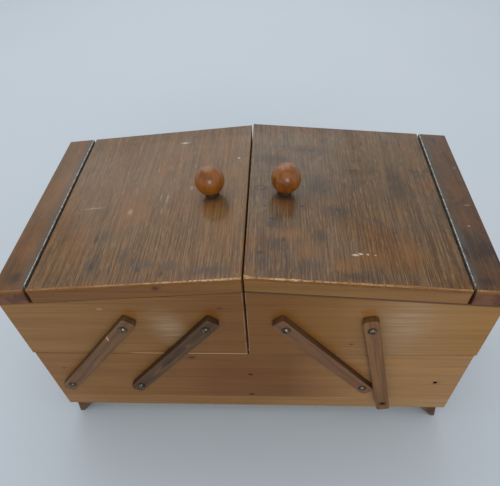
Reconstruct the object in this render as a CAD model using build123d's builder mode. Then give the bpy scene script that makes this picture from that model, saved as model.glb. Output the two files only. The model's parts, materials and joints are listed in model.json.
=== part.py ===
from build123d import *
from math import asin, atan2, cos, hypot, radians, sin, tan
import os

# Cantilever sewing box, closed. A base box stands on two runners. Two upper trays lie side by side
# on its rim, and each swings out and down on four wooden links that stay parallel. Each tray has a
# fixed strip along its outer end, and a sloping lid hinged to that strip by a piano hinge.
# Frame: origin on the floor under the middle of the box, +X right, +Y back, +Z up, millimetres.

# ---- base box -------------------------------------------------------------------------------
base_width = 440.0
base_depth = 246.0
base_height = 104.5  # the boards, without the runners
base_board = 9.0  # board thickness
base_rail_height = 20.0  # pale strip edge-glued under the front and back boards
bottom_panel = 3.0
bottom_panel_inset = 1.5  # step back from the front and back faces
partition_board = 6.0
partition_height = 92.0
brad_diameter = 1.8
brad_length = 22.0
lower_brad_rise = 4.6  # above the rail's upper edge
upper_brad_rise = 47.0

# ---- runners under the base -----------------------------------------------------------------
runner_height = 22.0
runner_top_width = 20.0
runner_tip_width = 4.6
runner_splay = 3.6  # the tip stands this far outside the top's outer edge
runner_end_inset = 1.0

# ---- trays ----------------------------------------------------------------------------------
tray_overhang = 2.0  # each tray reaches past the base end by this much
tray_board = 8.0
tray_panel = 4.0
tray_panel_rise = 5.0  # underside of the bottom panel above the boards' lower edge
groove_depth = 4.0
divider_board = 5.0
divider_height = 52.0
divider_place = 100.5  # from the middle plane to the divider's middle
centre_gap = 2.0  # between the two trays, and between the two lids
seam_gap = 0.4  # between base and tray, and between tray and lid

# ---- lids and fixed strips ------------------------------------------------------------------
ridge_height = 213.9  # left lid's top at the middle plane, above the underside of the base boards
right_ridge_rise = 1.5  # the right lid is this much higher there
left_slope = 4.25  # degrees, falling outwards
right_slope = 5.0
lid_depth_at_edge = 17.0  # panel and rail together
lid_panel = 4.0
lid_rail = 8.0
lid_cross_rail = 10.0
strip_width = 29.5

# ---- piano hinges ---------------------------------------------------------------------------
knuckle_radius = 1.3
knuckle_side_gap = 0.3  # between a knuckle and the wood beside it
hinge_end_inset = 5.0
leaf_lift = 1.7  # a leaf's lower edge above the lid rail's
leaf_thickness = 0.8
knuckle_pitch = 12.4
knuckle_gap = 0.3
hinge_pin_radius = 0.6
hinge_running_clearance = 0.06
hinge_rise = 0.3  # pin axis above the lid's top surface

# ---- links and their screws -----------------------------------------------------------------
link_width = 14.5
link_thickness = 7.0
link_overhang = 12.5  # from a pivot to the link's end
link_corner = 4.2
link_board_gap = 0.5
link_run = 82.0  # sideways distance between a link's two pivots
lower_pivot_drop = 50.0  # below the base's top edge
upper_pivot_rise = 49.0  # above the tray's lower edge
outer_pivot_inset = 24.5  # from the base end to the outer lower pivot
pivot_spacing = 77.0
screw_shank_radius = 1.7
screw_head_radius = 3.8
screw_head_height = 2.4
screw_tip_cover = 1.0  # board left behind a screw's tip
pivot_clearance = 0.3  # all round a shank in a link, and under its head

# ---- the loose link, front right, which hangs from its upper screw ----------------------------
loose_lift = 1.0  # from the tray's front to the back of the link, at the upper screw
loose_tilt = 1.65  # degrees, the lower end stands away from the front
loose_rest_clearance = 0.35  # between this link and the one that it leans on

# ---- knobs ------------------------------------------------------------------------------------
knob_radius = 14.4
knob_foot_radius = 7.0
knob_foot_height = 1.0
knob_cove_depth = 1.2  # the neck is this much slimmer than the foot
knob_cove_height = 2.2
knob_from_centre = 35.4
knob_back = -5.5  # from the middle of the depth, towards the back
knob_screw_radius = 1.7
knob_screw_head_radius = 3.6
knob_screw_head_height = 2.0
knob_screw_head_taper = 1.1
knob_screw_grip = 12.0  # screw inside the knob

arris = 0.5  # small bevel on every sawn edge
link_arris = 0.8

# ---- places worked out from the sizes above -----------------------------------------------------
half_depth = base_depth / 2
base_end = base_width / 2
base_floor = runner_height  # underside of the base boards
base_top = base_floor + base_height
tray_floor = base_top + seam_gap
tray_inner = centre_gap / 2
tray_outer = base_end + tray_overhang
hinge_slot = 2 * (knuckle_radius + knuckle_side_gap)
slot_outer = tray_outer - strip_width
slot_inner = slot_outer - hinge_slot
hinge_x = (slot_inner + slot_outer) / 2
runner_outer = base_end - base_board
runner_inner = runner_outer - runner_top_width
lower_outer_x = base_end - outer_pivot_inset
lower_inner_x = lower_outer_x - pivot_spacing
upper_outer_x = lower_outer_x - link_run
upper_inner_x = lower_inner_x - link_run
lower_pivot_z = base_top - lower_pivot_drop
upper_pivot_z = tray_floor + upper_pivot_rise
panel_half_depth = half_depth - tray_board + groove_depth
panel_inner = tray_inner + tray_board - groove_depth
panel_outer = tray_outer - tray_board + groove_depth
link_rise = upper_pivot_z - lower_pivot_z
link_length = hypot(link_run, link_rise)
hole_radius = screw_shank_radius + pivot_clearance

SIDES = {"left": -1, "right": 1}
FACES = {"front": -1, "back": 1}
left_ridge = base_floor + ridge_height
RIDGE = {"left": left_ridge, "right": left_ridge + right_ridge_rise}
FALL = {"left": tan(radians(left_slope)), "right": tan(radians(right_slope))}
SLOPE = {"left": left_slope, "right": right_slope}


def lid_top(side, x):
    """Height of the sloping top at a distance x from the middle plane."""
    return RIDGE[side] - FALL[side] * x


def seam(side, x):
    """Height of the tray boards' sloping upper edge."""
    return lid_top(side, x) - lid_depth_at_edge - seam_gap


def save(part, label):
    """Label a finished piece and write its STEP file."""
    part.label = label
    export_step(part, f"parts/{label}.step")


def slab(profile, y_from, y_to, side=1, bevel=arris):
    """Board cut to a closed X-Z outline and running from y_from to y_to, its edges eased."""
    with BuildPart() as board:
        with BuildSketch(Plane.XZ.offset(-(y_from + y_to) / 2)):
            with BuildLine():
                Polyline(*[(side * x, z) for x, z in profile], close=True)
            make_face()
        extrude(amount=abs(y_to - y_from) / 2, both=True)
        chamfer(board.edges(), bevel)
    return board.part


def box_outline(x_from, x_to, z_from, z_to):
    """Corner points of an upright rectangle in the X-Z plane."""
    return [(x_from, z_from), (x_to, z_from), (x_to, z_to), (x_from, z_to)]


def sloped_outline(x_from, x_to, lower, upper):
    """Corner points between two heights that change with x."""
    return [(x_from, lower(x_from)), (x_to, lower(x_to)), (x_to, upper(x_to)), (x_from, upper(x_from))]


def wall_span(face, thickness):
    """The y range of a front or back board."""
    return sorted((FACES[face] * half_depth, FACES[face] * (half_depth - thickness)))


def drill(part, places, radius, face, depth):
    """Round holes bored into the front or the back, at (x, z) places."""
    y_face = FACES[face] * half_depth
    with BuildPart() as drilled:
        add(part)
        with BuildSketch(Plane.XZ.offset(-(y_face - FACES[face] * depth / 2))):
            with Locations(*places):
                Circle(radius)
        extrude(amount=depth / 2, both=True, mode=Mode.SUBTRACT)
    return drilled.part


def groove(part, x_from, x_to, side):
    """Groove for a tray's bottom panel, cut as the panel's own outline."""
    with BuildPart() as grooved:
        add(part)
        with BuildSketch(Plane.XY.offset(tray_floor + tray_panel_rise)):
            with Locations((side * (x_from + x_to) / 2, 0)):
                Rectangle(x_to - x_from, 2 * panel_half_depth)
        extrude(amount=tray_panel, mode=Mode.SUBTRACT)
    return grooved.part


os.makedirs("parts", exist_ok=True)


# ---- base box -------------------------------------------------------------------------------
base_pivots = [(side * x, lower_pivot_z) for side in (-1, 1) for x in (lower_inner_x, lower_outer_x)]
rail_top = base_floor + base_rail_height
brads = [(0.0, rail_top + rise) for rise in (lower_brad_rise, upper_brad_rise)]
base_screw_depth = base_board - screw_tip_cover

for face in FACES:
    span = wall_span(face, base_board)
    upper = box_outline(-base_end, base_end, rail_top, base_top)
    board = slab(upper, *span)
    board = drill(board, base_pivots, screw_shank_radius, face, base_screw_depth)
    board = drill(board, brads, brad_diameter / 2, face, base_board)
    save(board, f"base_{face}_board")
    lower = box_outline(-base_end, base_end, base_floor, rail_top)
    save(slab(lower, *span), f"base_{face}_rail")

inside_depth = half_depth - base_board
for side, sign in SIDES.items():
    end = box_outline(base_end - base_board, base_end, base_floor, base_top)
    save(slab(end, -inside_depth, inside_depth, sign), f"base_{side}_end")

    # a runner is a splayed wedge, ripped from one batten and running from front to back
    tip = runner_outer + runner_splay
    wedge = [(runner_inner, base_floor), (tip - runner_tip_width, 0), (tip, 0), (runner_outer, base_floor)]
    reach = half_depth - runner_end_inset
    save(slab(wedge, -reach, reach, sign), f"{side}_runner")

panel = box_outline(-runner_inner, runner_inner, base_floor - bottom_panel, base_floor)
panel_reach = half_depth - bottom_panel_inset
save(slab(panel, -panel_reach, panel_reach), "base_bottom_panel")

middle = box_outline(-partition_board / 2, partition_board / 2, base_floor, base_floor + partition_height)
partition = slab(middle, -inside_depth, inside_depth)
for face in FACES:
    partition = drill(partition, brads, brad_diameter / 2, face, brad_length)
save(partition, "base_partition")

with BuildPart() as base_brads:
    for out in FACES.values():
        with BuildSketch(Plane.XZ.offset(-out * (half_depth - brad_length / 2))):
            with Locations(*brads):
                Circle(brad_diameter / 2)
        extrude(amount=brad_length / 2, both=True)
save(base_brads.part, "base_brads")


# ---- pivot screws ---------------------------------------------------------------------------
def domed_screws(places):
    """Round-head screws, each turned about a Y axis: shank, flat underside and a dome.

    A place is (x, z, out, lift, bite). out is -1 at the front and 1 at the back, lift is the height
    of the head's underside above the board, and bite is the shank's depth in the board."""
    ball = (screw_head_radius**2 + screw_head_height**2) / (2 * screw_head_height)
    half_angle = asin(screw_head_radius / ball) / 2
    with BuildPart() as screws:
        for x, z, out, lift, bite in places:
            top = lift + screw_head_height
            middle = (ball * sin(half_angle), top - ball * (1 - cos(half_angle)))
            plane = Plane(origin=(x, out * half_depth, z), x_dir=(1, 0, 0), z_dir=(0, 0, out))
            with BuildSketch(plane):
                with BuildLine():
                    Polyline(
                        (0, top), (0, -bite), (screw_shank_radius, -bite),
                        (screw_shank_radius, lift), (screw_head_radius, lift))
                    ThreePointArc((screw_head_radius, lift), middle, (0, top))
                make_face()
            revolve(axis=Axis(plane.origin, plane.y_dir))
    return screws.part


head_lift = link_board_gap + link_thickness + pivot_clearance
loose_head_lift = loose_lift + link_thickness + pivot_clearance + screw_head_radius * sin(radians(loose_tilt))

empty_hole = (lower_outer_x, -1)
base_screw_places = [
    (x, z, out, head_lift, base_screw_depth)
    for out in FACES.values() for x, z in base_pivots if (x, out) != empty_hole]
save(domed_screws(base_screw_places), "base_pivot_screws")


# ---- trays ----------------------------------------------------------------------------------
def make_tray(side, sign):
    """Boards, bottom, divider and fixed strip of one tray, with its four upper screws."""
    pivots = [(sign * x, upper_pivot_z) for x in (upper_inner_x, upper_outer_x)]
    bite = tray_board - screw_tip_cover
    inside = half_depth - tray_board
    wall = sloped_outline(tray_inner, tray_outer, lambda x: tray_floor, lambda x: seam(side, x))
    for face in FACES:
        board = slab(wall, *wall_span(face, tray_board), sign)
        board = drill(board, pivots, screw_shank_radius, face, bite)
        save(groove(board, panel_inner, panel_outer, sign), f"{side}_tray_{face}_board")
    for name, x in (("inner", tray_inner), ("outer", tray_outer - tray_board)):
        end = sloped_outline(x, x + tray_board, lambda x: tray_floor, lambda x: seam(side, x))
        board = slab(end, -inside, inside, sign)
        save(groove(board, panel_inner, panel_outer, sign), f"{side}_tray_{name}_end")

    panel_low = tray_floor + tray_panel_rise
    bottom = box_outline(panel_inner, panel_outer, panel_low, panel_low + tray_panel)
    with BuildPart() as bottom_panel_part:
        with BuildSketch(Plane.XZ):
            with BuildLine():
                Polyline(*[(sign * x, z) for x, z in bottom], close=True)
            make_face()
        extrude(amount=panel_half_depth, both=True)
    save(bottom_panel_part.part, f"{side}_tray_bottom")

    divider_inner = divider_place - divider_board / 2
    divider_low = panel_low + tray_panel
    upright = box_outline(
        divider_inner, divider_inner + divider_board, divider_low, divider_low + divider_height)
    save(slab(upright, -inside, inside, sign), f"{side}_tray_divider")

    # fixed strip: a batten with its end grain at the front, under a strip of the lid's plywood
    under = lid_depth_at_edge + seam_gap
    batten = sloped_outline(
        slot_outer, tray_outer,
        lambda x: lid_top(side, x) - under, lambda x: lid_top(side, x) - lid_panel)
    save(slab(batten, -half_depth, half_depth, sign), f"{side}_strip_batten")
    top = sloped_outline(
        slot_outer, tray_outer,
        lambda x: lid_top(side, x) - lid_panel, lambda x: lid_top(side, x))
    save(slab(top, -half_depth, half_depth, sign), f"{side}_strip_panel")

    loose_place = (upper_outer_x, -1)
    places = [
        (x, z, out, loose_head_lift if (x, out) == loose_place else head_lift, bite)
        for out in FACES.values() for x, z in pivots]
    save(domed_screws(places), f"{side}_tray_pivot_screws")


# ---- lids -----------------------------------------------------------------------------------
def knob_plane(side, sign):
    """Plane through the knob's axis: local x runs down the slope, local y square to the lid."""
    tilt = radians(SLOPE[side])
    origin = (sign * knob_from_centre, knob_back, lid_top(side, knob_from_centre))
    return Plane(origin=origin, x_dir=(cos(tilt), 0, -sign * sin(tilt)), z_dir=(0, -1, 0))


def knob_axis(plane):
    """The knob's own axis, square to the lid."""
    return Axis(plane.origin, plane.y_dir)


def make_lid(side, sign):
    """Plywood panel on a frame of four rails, with a turned ball knob and its screw."""
    tilt_plane = knob_plane(side, sign)
    axis = knob_axis(tilt_plane)
    panel_outline = sloped_outline(
        tray_inner, slot_inner,
        lambda x: lid_top(side, x) - lid_panel, lambda x: lid_top(side, x))
    with BuildPart() as panel_part:
        add(slab(panel_outline, -half_depth, half_depth, sign))
        with BuildSketch(tilt_plane):
            Rectangle(knob_screw_radius, 2 * lid_panel, align=(Align.MIN, Align.MAX))
        revolve(axis=axis, mode=Mode.SUBTRACT)
    save(panel_part.part, f"{side}_lid_panel")

    def rail_outline(x_from, x_to):
        return sloped_outline(
            x_from, x_to,
            lambda x: lid_top(side, x) - lid_depth_at_edge, lambda x: lid_top(side, x) - lid_panel)

    for face in FACES:
        rail = slab(rail_outline(tray_inner, slot_inner), *wall_span(face, lid_rail), sign)
        save(rail, f"{side}_lid_{face}_rail")
    inside = half_depth - lid_rail
    for name, x in (("inner", tray_inner), ("hinge", slot_inner - lid_cross_rail)):
        rail = slab(rail_outline(x, x + lid_cross_rail), -inside, inside, sign)
        save(rail, f"{side}_lid_{name}_rail")

    # turned knob: a small foot, a cove and a ball
    neck_radius = knob_foot_radius - knob_cove_depth
    cove_top = knob_foot_height + knob_cove_height
    ball_centre = cove_top + (knob_radius**2 - neck_radius**2) ** 0.5
    with BuildPart() as knob:
        with BuildSketch(tilt_plane):
            with BuildLine():
                Polyline((0, 0), (knob_foot_radius, 0), (knob_foot_radius, knob_foot_height))
                TangentArc((neck_radius, cove_top), (knob_foot_radius, knob_foot_height), tangent=(0, -1))
                ThreePointArc(
                    (neck_radius, cove_top), (knob_radius, ball_centre), (0, ball_centre + knob_radius))
                Line((0, ball_centre + knob_radius), (0, 0))
            make_face()
        revolve(axis=axis)
        with BuildSketch(tilt_plane):
            Rectangle(knob_screw_radius, knob_screw_grip, align=(Align.MIN, Align.MIN))
        revolve(axis=axis, mode=Mode.SUBTRACT)
    save(knob.part, f"{side}_knob")

    # the screw comes up through the panel, its head against the panel's underside
    under = -lid_panel * cos(radians(SLOPE[side]))
    with BuildPart() as knob_screw:
        with BuildSketch(tilt_plane):
            with BuildLine():
                Polyline(
                    (0, knob_screw_grip), (knob_screw_radius, knob_screw_grip),
                    (knob_screw_radius, under), (knob_screw_head_radius, under),
                    (knob_screw_head_radius - knob_screw_head_taper, under - knob_screw_head_height),
                    (0, under - knob_screw_head_height), close=True)
            make_face()
        revolve(axis=axis)
    save(knob_screw.part, f"{side}_knob_screw")


# ---- piano hinges -----------------------------------------------------------------------------
hinge_reach = half_depth - hinge_end_inset
knuckle_count = 2 * round((2 * hinge_reach / knuckle_pitch - 1) / 2) + 1
knuckle_step = 2 * hinge_reach / knuckle_count


def make_hinge(side, sign):
    """Two leaves with interleaved knuckles, and the pin that joins them.

    The fixed leaf holds the odd places and the pin, the moving leaf turns on it."""
    axis_z = lid_top(side, hinge_x) + hinge_rise
    notch = knuckle_radius + knuckle_gap
    leaf_height = hinge_rise + lid_depth_at_edge - leaf_lift - notch
    for name, turn, first in (("fixed", sign, 0), ("moving", -sign, 1)):
        bore = hinge_pin_radius if name == "fixed" else hinge_pin_radius + hinge_running_clearance
        face_x = sign * hinge_x + turn * hinge_slot / 2
        plate_x = face_x - turn * leaf_thickness / 2
        with BuildPart() as leaf:
            with BuildSketch(Plane.XZ):
                with Locations((plate_x, axis_z - notch)):
                    Rectangle(leaf_thickness, leaf_height, align=(Align.CENTER, Align.MAX))
            extrude(amount=hinge_reach, both=True)
            for place in range(first, knuckle_count, 2):
                y_mid = -hinge_reach + (place + 0.5) * knuckle_step
                with BuildSketch(Plane.XZ.offset(-y_mid)):
                    with Locations((sign * hinge_x, axis_z)):
                        Circle(knuckle_radius)
                    with Locations((plate_x, axis_z)):
                        Rectangle(leaf_thickness, notch, align=(Align.CENTER, Align.MAX))
                extrude(amount=(knuckle_step - knuckle_gap) / 2, both=True)
            with BuildSketch(Plane.XZ):
                with Locations((sign * hinge_x, axis_z)):
                    Circle(bore)
            extrude(amount=hinge_reach, both=True, mode=Mode.SUBTRACT)
        save(leaf.part, f"{side}_hinge_{name}_leaf")
    with BuildPart() as pin:
        with BuildSketch(Plane.XZ):
            with Locations((sign * hinge_x, axis_z)):
                Circle(hinge_pin_radius)
        extrude(amount=hinge_reach, both=True)
    save(pin.part, f"{side}_hinge_pin")


# ---- links --------------------------------------------------------------------------------------
def make_link(plane):
    """Flat link on a plane that starts at one pivot and has local x towards the other."""
    end_radius = min(link_corner, 0.49 * link_width)
    with BuildPart() as link:
        with BuildSketch(plane):
            with Locations((link_length / 2, 0)):
                RectangleRounded(link_length + 2 * link_overhang, link_width, end_radius)
        extrude(amount=link_thickness / 2, both=True)
        broad_faces = link.faces().filter_by(Axis((0, 0, 0), plane.z_dir))
        chamfer(broad_faces.edges(), link_arris)
        with BuildSketch(plane):
            with Locations((0, 0), (link_length, 0)):
                Circle(hole_radius)
        extrude(amount=link_thickness, both=True, mode=Mode.SUBTRACT)
    return link.part


def loose_link_plane():
    """The loose link hangs from its upper screw and leans on the inner link's lower end.

    It touches the arc of that end's upper corner, so its lean follows from the two links' sizes."""
    along = (link_run / link_length, -link_rise / link_length)
    across = (link_rise / link_length, link_run / link_length)
    reach = link_overhang - link_corner
    aside = link_width / 2 - link_corner
    corner_x = lower_inner_x + along[0] * reach + across[0] * aside
    corner_z = lower_pivot_z + along[1] * reach + across[1] * aside
    dx = corner_x - upper_outer_x
    dz = upper_pivot_z - corner_z
    touch = link_width / 2 + link_corner + loose_rest_clearance
    lean = atan2(dx, dz) + asin(touch / hypot(dx, dz))
    tilt = radians(loose_tilt)
    down = (sin(lean) * cos(tilt), -sin(tilt), -cos(lean) * cos(tilt))
    out = (sin(lean) * sin(tilt), cos(tilt), -cos(lean) * sin(tilt))
    y_mid = -(half_depth + loose_lift + link_thickness / 2)
    return Plane(origin=(upper_outer_x, y_mid, upper_pivot_z), x_dir=down, z_dir=out)


def make_links(side, sign):
    """Four links of one side. On the front right, the outer one is the loose link."""
    for face, out in FACES.items():
        y_mid = out * (half_depth + link_board_gap + link_thickness / 2)
        for name, x in (("inner", lower_inner_x), ("outer", lower_outer_x)):
            plane = Plane(
                origin=(sign * x, y_mid, lower_pivot_z),
                x_dir=(-sign * link_run, 0, link_rise), z_dir=(0, out, 0))
            if (side, name, face) == ("right", "outer", "front"):
                plane = loose_link_plane()
            save(make_link(plane), f"{side}_{name}_{face}_link")


for side, sign in SIDES.items():
    make_tray(side, sign)
    make_lid(side, sign)
    make_hinge(side, sign)
    make_links(side, sign)
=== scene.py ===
import json
import math

import bmesh
import bpy
import numpy as np
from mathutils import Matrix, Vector


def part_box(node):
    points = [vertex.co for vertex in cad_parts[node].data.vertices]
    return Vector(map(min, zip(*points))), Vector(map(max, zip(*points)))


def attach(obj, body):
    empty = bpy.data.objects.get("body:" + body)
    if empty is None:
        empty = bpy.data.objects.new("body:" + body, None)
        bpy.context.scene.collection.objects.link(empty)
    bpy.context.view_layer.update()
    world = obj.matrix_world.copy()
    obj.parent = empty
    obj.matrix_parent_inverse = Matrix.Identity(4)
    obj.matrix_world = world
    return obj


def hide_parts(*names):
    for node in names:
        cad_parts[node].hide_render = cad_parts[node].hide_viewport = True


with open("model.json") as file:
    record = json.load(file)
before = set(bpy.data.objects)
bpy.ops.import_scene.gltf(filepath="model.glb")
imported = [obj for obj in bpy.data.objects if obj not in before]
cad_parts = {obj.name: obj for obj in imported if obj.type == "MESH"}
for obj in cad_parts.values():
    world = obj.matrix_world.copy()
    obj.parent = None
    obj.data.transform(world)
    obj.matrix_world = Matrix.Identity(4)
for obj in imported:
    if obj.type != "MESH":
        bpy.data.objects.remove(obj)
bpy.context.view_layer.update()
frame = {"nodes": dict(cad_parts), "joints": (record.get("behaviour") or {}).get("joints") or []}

# Looks of a closed cantilever sewing box: varnished pine boards, two worn veneered lids with turned
# knobs, piano hinges, and links on round-head screws. Everything is in metres in the part's frame:
# origin on the floor under the middle of the box, +X right, +Y back, +Z up.

MM = 0.001
SIDES = {"left": -1, "right": 1}
FACES = {"front": -1, "back": 1}

# ---- sizes shared with the part ----
panel_thickness = 4.0 * MM
sawn_arris = 0.5 * MM
knob_radius = 14.4 * MM
knob_foot_radius = 7.0 * MM
knob_foot_height = 1.0 * MM
knob_neck_radius = 5.8 * MM
knob_cove_height = 2.2 * MM
screw_head_radius = 3.8 * MM
screw_head_height = 2.4 * MM
screw_shank_radius = 1.7 * MM
base_screw_depth = 7.5 * MM
tray_screw_depth = 6.5 * MM
link_width = 14.5 * MM
link_thickness = 7.0 * MM
link_overhang = 12.5 * MM
link_lower_corner = 4.4 * MM
link_upper_corner = 3.0 * MM
link_hole_radius = 2.0 * MM
link_board_gap = 0.5 * MM
loose_lift = 1.0 * MM
screw_clearance = 0.3 * MM

# ---- sizes of the wear ----
lid_wear = 0.9 * MM
lid_fringe = 1.6 * MM
strip_wear = 0.8 * MM
strip_fringe = 1.2 * MM
right_lid_chip = 1.3 * MM
chip_reach = 3.2 * MM
link_rub = 0.6 * MM
link_rub_limit = 1.9 * MM
nick_size = 1.5 * MM
nick_place = 1.68
loose_clear = 0.005 * MM

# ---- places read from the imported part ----
base_low, base_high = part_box("base_front_board")
tray_low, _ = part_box("left_tray_front_board")
half_depth = -base_low.y
base_end = base_high.x
base_top = base_high.z
rail_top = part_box("base_front_rail")[1].z
tray_floor = tray_low.z
tray_outer = -tray_low.x
hinge_edge = min(abs(corner.x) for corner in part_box("left_strip_panel"))
JOINTS = {joint["name"]: Vector(joint["pos_m"]) for joint in frame["joints"]}


def lid_line(side):
    """Height of a lid's sloping top at the middle plane and its fall, from the corners of the panel's box.

    The highest point is one arris in from the inner edge, and the lowest is one arris in from the outer
    edge and a panel thickness down."""
    low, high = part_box(f"{side}_lid_panel")
    inner, outer = sorted((abs(low.x), abs(high.x)))
    run = outer - inner - 2 * sawn_arris
    fall = (high.z - low.z - panel_thickness) / run
    return high.z + fall * (inner + sawn_arris), fall


LID_LINES = {side: lid_line(side) for side in SIDES}


def tone(red, green, blue):
    """Linear colour of a value on the usual 0 to 255 display scale."""
    chart = np.array([red, green, blue]) / 255
    linear = np.where(chart <= 0.04045, chart / 12.92, ((chart + 0.055) / 1.055) ** 2.4)
    return (*linear.tolist(), 1.0)


# ---- finishes ----
def worked(operation, swapped=False):
    """An operator that adds a Math node, swapped where the field comes second."""
    def work(field, other):
        terms = (other, field) if swapped else (field, other)
        return field.nodes.math(operation, *terms)

    return work


class Field:
    """A value or colour among nodes. Arithmetic on it adds Math nodes."""

    def __init__(self, nodes, socket):
        self.nodes = nodes
        self.socket = socket

    def __abs__(self):
        return self.nodes.math("ABSOLUTE", self)

    __add__, __radd__ = worked("ADD"), worked("ADD", True)
    __sub__, __rsub__ = worked("SUBTRACT"), worked("SUBTRACT", True)
    __mul__, __rmul__ = worked("MULTIPLY"), worked("MULTIPLY", True)
    __truediv__ = worked("DIVIDE")

    def step(self, low, high):
        """Smooth step: 0 where the value is low, 1 where it is high."""
        return self.nodes.add(
            "ShaderNodeMapRange", {"interpolation_type": "SMOOTHSTEP"},
            {"Value": self, "From Min": low, "From Max": high})


class Nodes:
    """The nodes of one material or of the world."""

    def __init__(self, owner):
        owner.use_nodes = True
        self.tree = owner.node_tree
        self.tree.nodes.clear()

    def add(self, kind, settings=None, inputs=None, output=0):
        """Add a node: its settings first, then the values or links of its sockets."""
        node = self.tree.nodes.new(kind)
        for key, value in (settings or {}).items():
            if key == "stops":
                ramp = node.color_ramp
                while len(ramp.elements) < len(value):
                    ramp.elements.new(1.0)
                for element, (position, colour) in zip(ramp.elements, value):
                    element.position = position
                    element.color = colour
            else:
                setattr(node, key, value)
        for key, value in (inputs or {}).items():
            if isinstance(value, Field):
                self.tree.links.new(value.socket, node.inputs[key])
            else:
                node.inputs[key].default_value = value
        return Field(self, node.outputs[output])

    def math(self, operation, *terms):
        return self.add("ShaderNodeMath", {"operation": operation}, dict(enumerate(terms)))

    def end(self, kind, shader):
        """Link a shader to the output."""
        self.tree.links.new(shader, self.tree.nodes.new(kind).inputs["Surface"])


class Finish(Nodes):
    """A node material for one kind of surface, laid out from Object coordinates."""

    def __init__(self, name, roughness=0.45, **constants):
        self.material = bpy.data.materials.new(name)
        super().__init__(self.material)
        self.shader = self.tree.nodes.new("ShaderNodeBsdfPrincipled")
        self.end("ShaderNodeOutputMaterial", self.shader.outputs["BSDF"])
        for name, value in {"roughness": roughness, **constants}.items():
            self.socket(name).default_value = value
        self.place = self.add("ShaderNodeTexCoord", output="Object")
        first = self.add("ShaderNodeSeparateXYZ", {}, {"Vector": self.place})
        self.x, self.y, self.z = [Field(self, part) for part in first.socket.node.outputs]

    def socket(self, name):
        """The shader's socket of a name such as coat_weight."""
        return self.shader.inputs[name.replace("_", " ").title().replace("Ior", "IOR")]

    def attribute(self, name):
        """A number that the mesh gives for each point."""
        return self.add("ShaderNodeAttribute", {"attribute_name": name}, output="Fac")

    def most(self, *fields):
        """The largest of several values."""
        result = fields[0]
        for field in fields[1:]:
            result = self.math("MAXIMUM", result, field)
        return result

    def mapped(self, kind, vector=None, **changes):
        """Object coordinates, or another vector, moved, turned and scaled."""
        return self.add(
            "ShaderNodeMapping", {"vector_type": kind}, {"Vector": vector or self.place, **changes})

    def vectors(self, operation, inputs, output=0):
        """Arithmetic on coordinates."""
        return self.add("ShaderNodeVectorMath", {"operation": operation}, inputs, output)

    def grain(self, pitch, seed=0.0, detail=2.0, roughness=0.5, distortion=0.0, vector=None):
        """Cloudy noise whose forms are about pitch millimetres long in x, y and z."""
        stretched = self.mapped(
            "POINT", vector, Location=(seed, 1.7 * seed, 2.3 * seed),
            Scale=[1 / (length * MM) for length in pitch])
        return self.add(
            "ShaderNodeTexNoise", {},
            {"Vector": stretched, "Scale": 1.0, "Detail": detail, "Roughness": roughness,
             "Distortion": distortion})

    def oval(self, centre, reach, turn=0.0, soft=0.9, face="top", vector=None):
        """Mask of an oval mark on the top or the front: 1 in its middle, 0 at its edge.

        centre and reach are in millimetres, and turn in degrees."""
        def laid(across, up, through):
            return (across, up, through) if face == "top" else (across, through, up)

        angle = math.radians(turn if face == "top" else -turn)
        local = self.mapped(
            "TEXTURE", vector, Location=laid(centre[0] * MM, centre[1] * MM, 0.0),
            Rotation=laid(0.0, 0.0, angle), Scale=laid(reach[0] * MM, reach[1] * MM, 1000.0))
        distance = self.vectors("LENGTH", {0: local}, "Value")
        return distance.step(1.0, 1.0 - soft)

    def ragged(self, size, amount):
        """Object coordinates pushed about by a noise, so that the marks laid on them get ragged edges."""
        cloud = self.add(
            "ShaderNodeTexNoise", {},
            {"Vector": self.place, "Scale": 1 / (size * MM), "Detail": 3.0, "Roughness": 0.6}, "Color")
        centred = self.vectors("SUBTRACT", {0: cloud, 1: (0.5, 0.5, 0.5)})
        return self.vectors(
            "ADD", {0: self.place, 1: self.vectors("SCALE", {0: centred, "Scale": amount * MM})})

    def blend(self, under, over, share, kind="MIX"):
        """One colour laid over another, by share."""
        return self.add(
            "ShaderNodeMix", {"data_type": "RGBA", "blend_type": kind}, {0: share, 6: under, 7: over}, 2)

    def lay(self, shade, share):
        """Lay a tone or a worked-out colour over the finish's colour, by share."""
        over = shade if isinstance(shade, Field) else tone(*shade)
        self.colour = self.blend(self.colour, over, share)

    def dye(self, factors, share):
        """Multiply the finish's colour by factors for red, green and blue, by share."""
        self.colour = self.blend(self.colour, (*factors, 1.0), share, "MULTIPLY")

    def bump(self, height, depth, strength=1.0):
        """Surface relief of a height from 0 to 1 times a depth in millimetres."""
        normal = self.add(
            "ShaderNodeBump", {}, {"Height": height, "Distance": depth * MM, "Strength": strength})
        self.tree.links.new(normal.socket, self.shader.inputs["Normal"])

    def feed(self, **fields):
        """Link the finish's colour and worked-out fields to the shader's sockets."""
        for name, field in {"base_color": self.colour, **fields}.items():
            self.tree.links.new(field.socket, self.socket(name))
        return self.material


def graded(finish, place, reach, stops):
    """Colour that changes along a coordinate: stops are (millimetres from the middle, tone)."""
    return finish.add(
        "ShaderNodeValToRGB",
        {"stops": [(0.5 + at * MM / (2 * reach), tone(*colour)) for at, colour in stops]},
        {"Fac": place / (2 * reach) + 0.5})


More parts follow.
